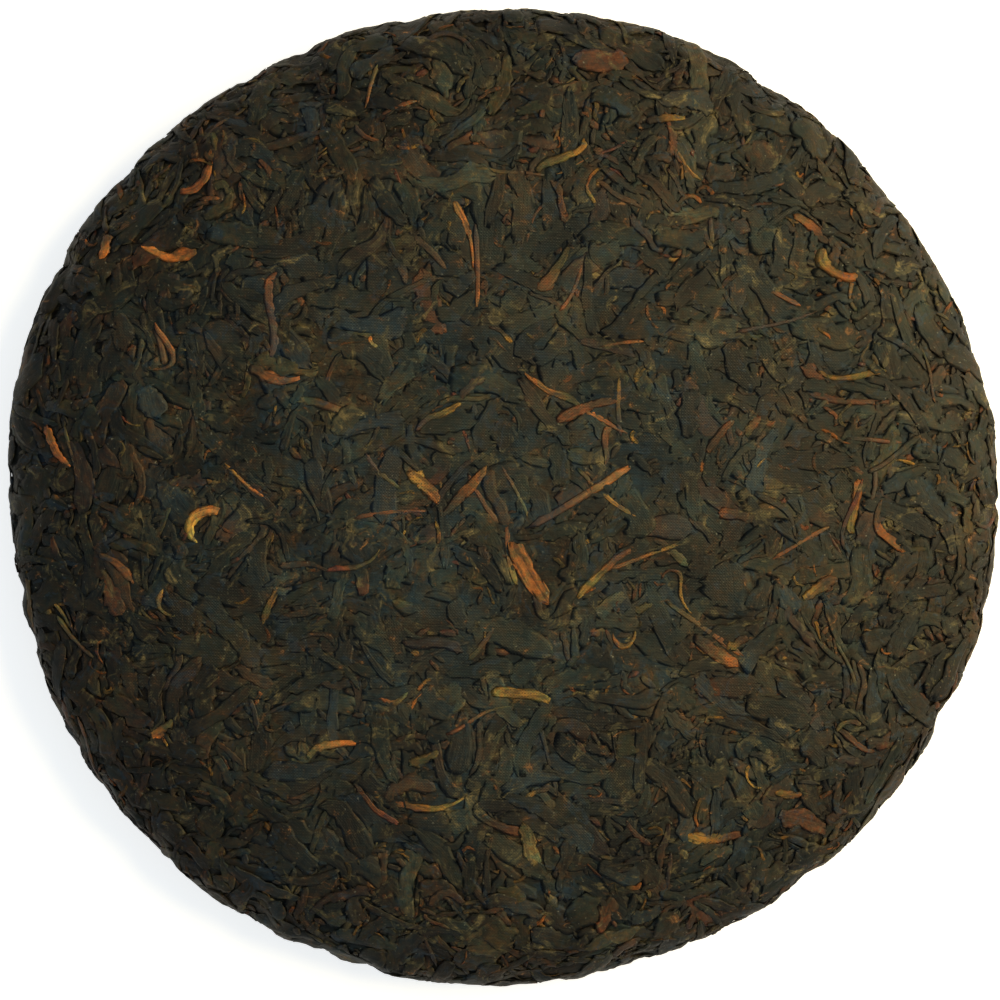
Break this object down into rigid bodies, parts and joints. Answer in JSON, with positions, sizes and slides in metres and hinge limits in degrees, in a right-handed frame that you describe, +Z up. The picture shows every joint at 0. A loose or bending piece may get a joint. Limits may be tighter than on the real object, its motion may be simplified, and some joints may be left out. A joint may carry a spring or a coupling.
{
  "type": "pu erh tea cake",
  "caption": "Round cake of pressed dark tea leaves, with a low domed face, a thin rounded rim and a flat back with a dimple in its middle.",
  "frame": {"origin": "centre of the flat back, on the surface that the cake rests on", "axes": "+Z up out of the domed face, +X to the right and +Y to the top of the face as seen from above"},
  "size_m": [0.2016, 0.1986, 0.0247],
  "materials": {
    "pressed_leaves": "dark brown green dried leaves, nearly matt"
  },
  "bodies": {
    "root": {"tea_cake": "pressed_leaves"}
  },
  "joints": []
}
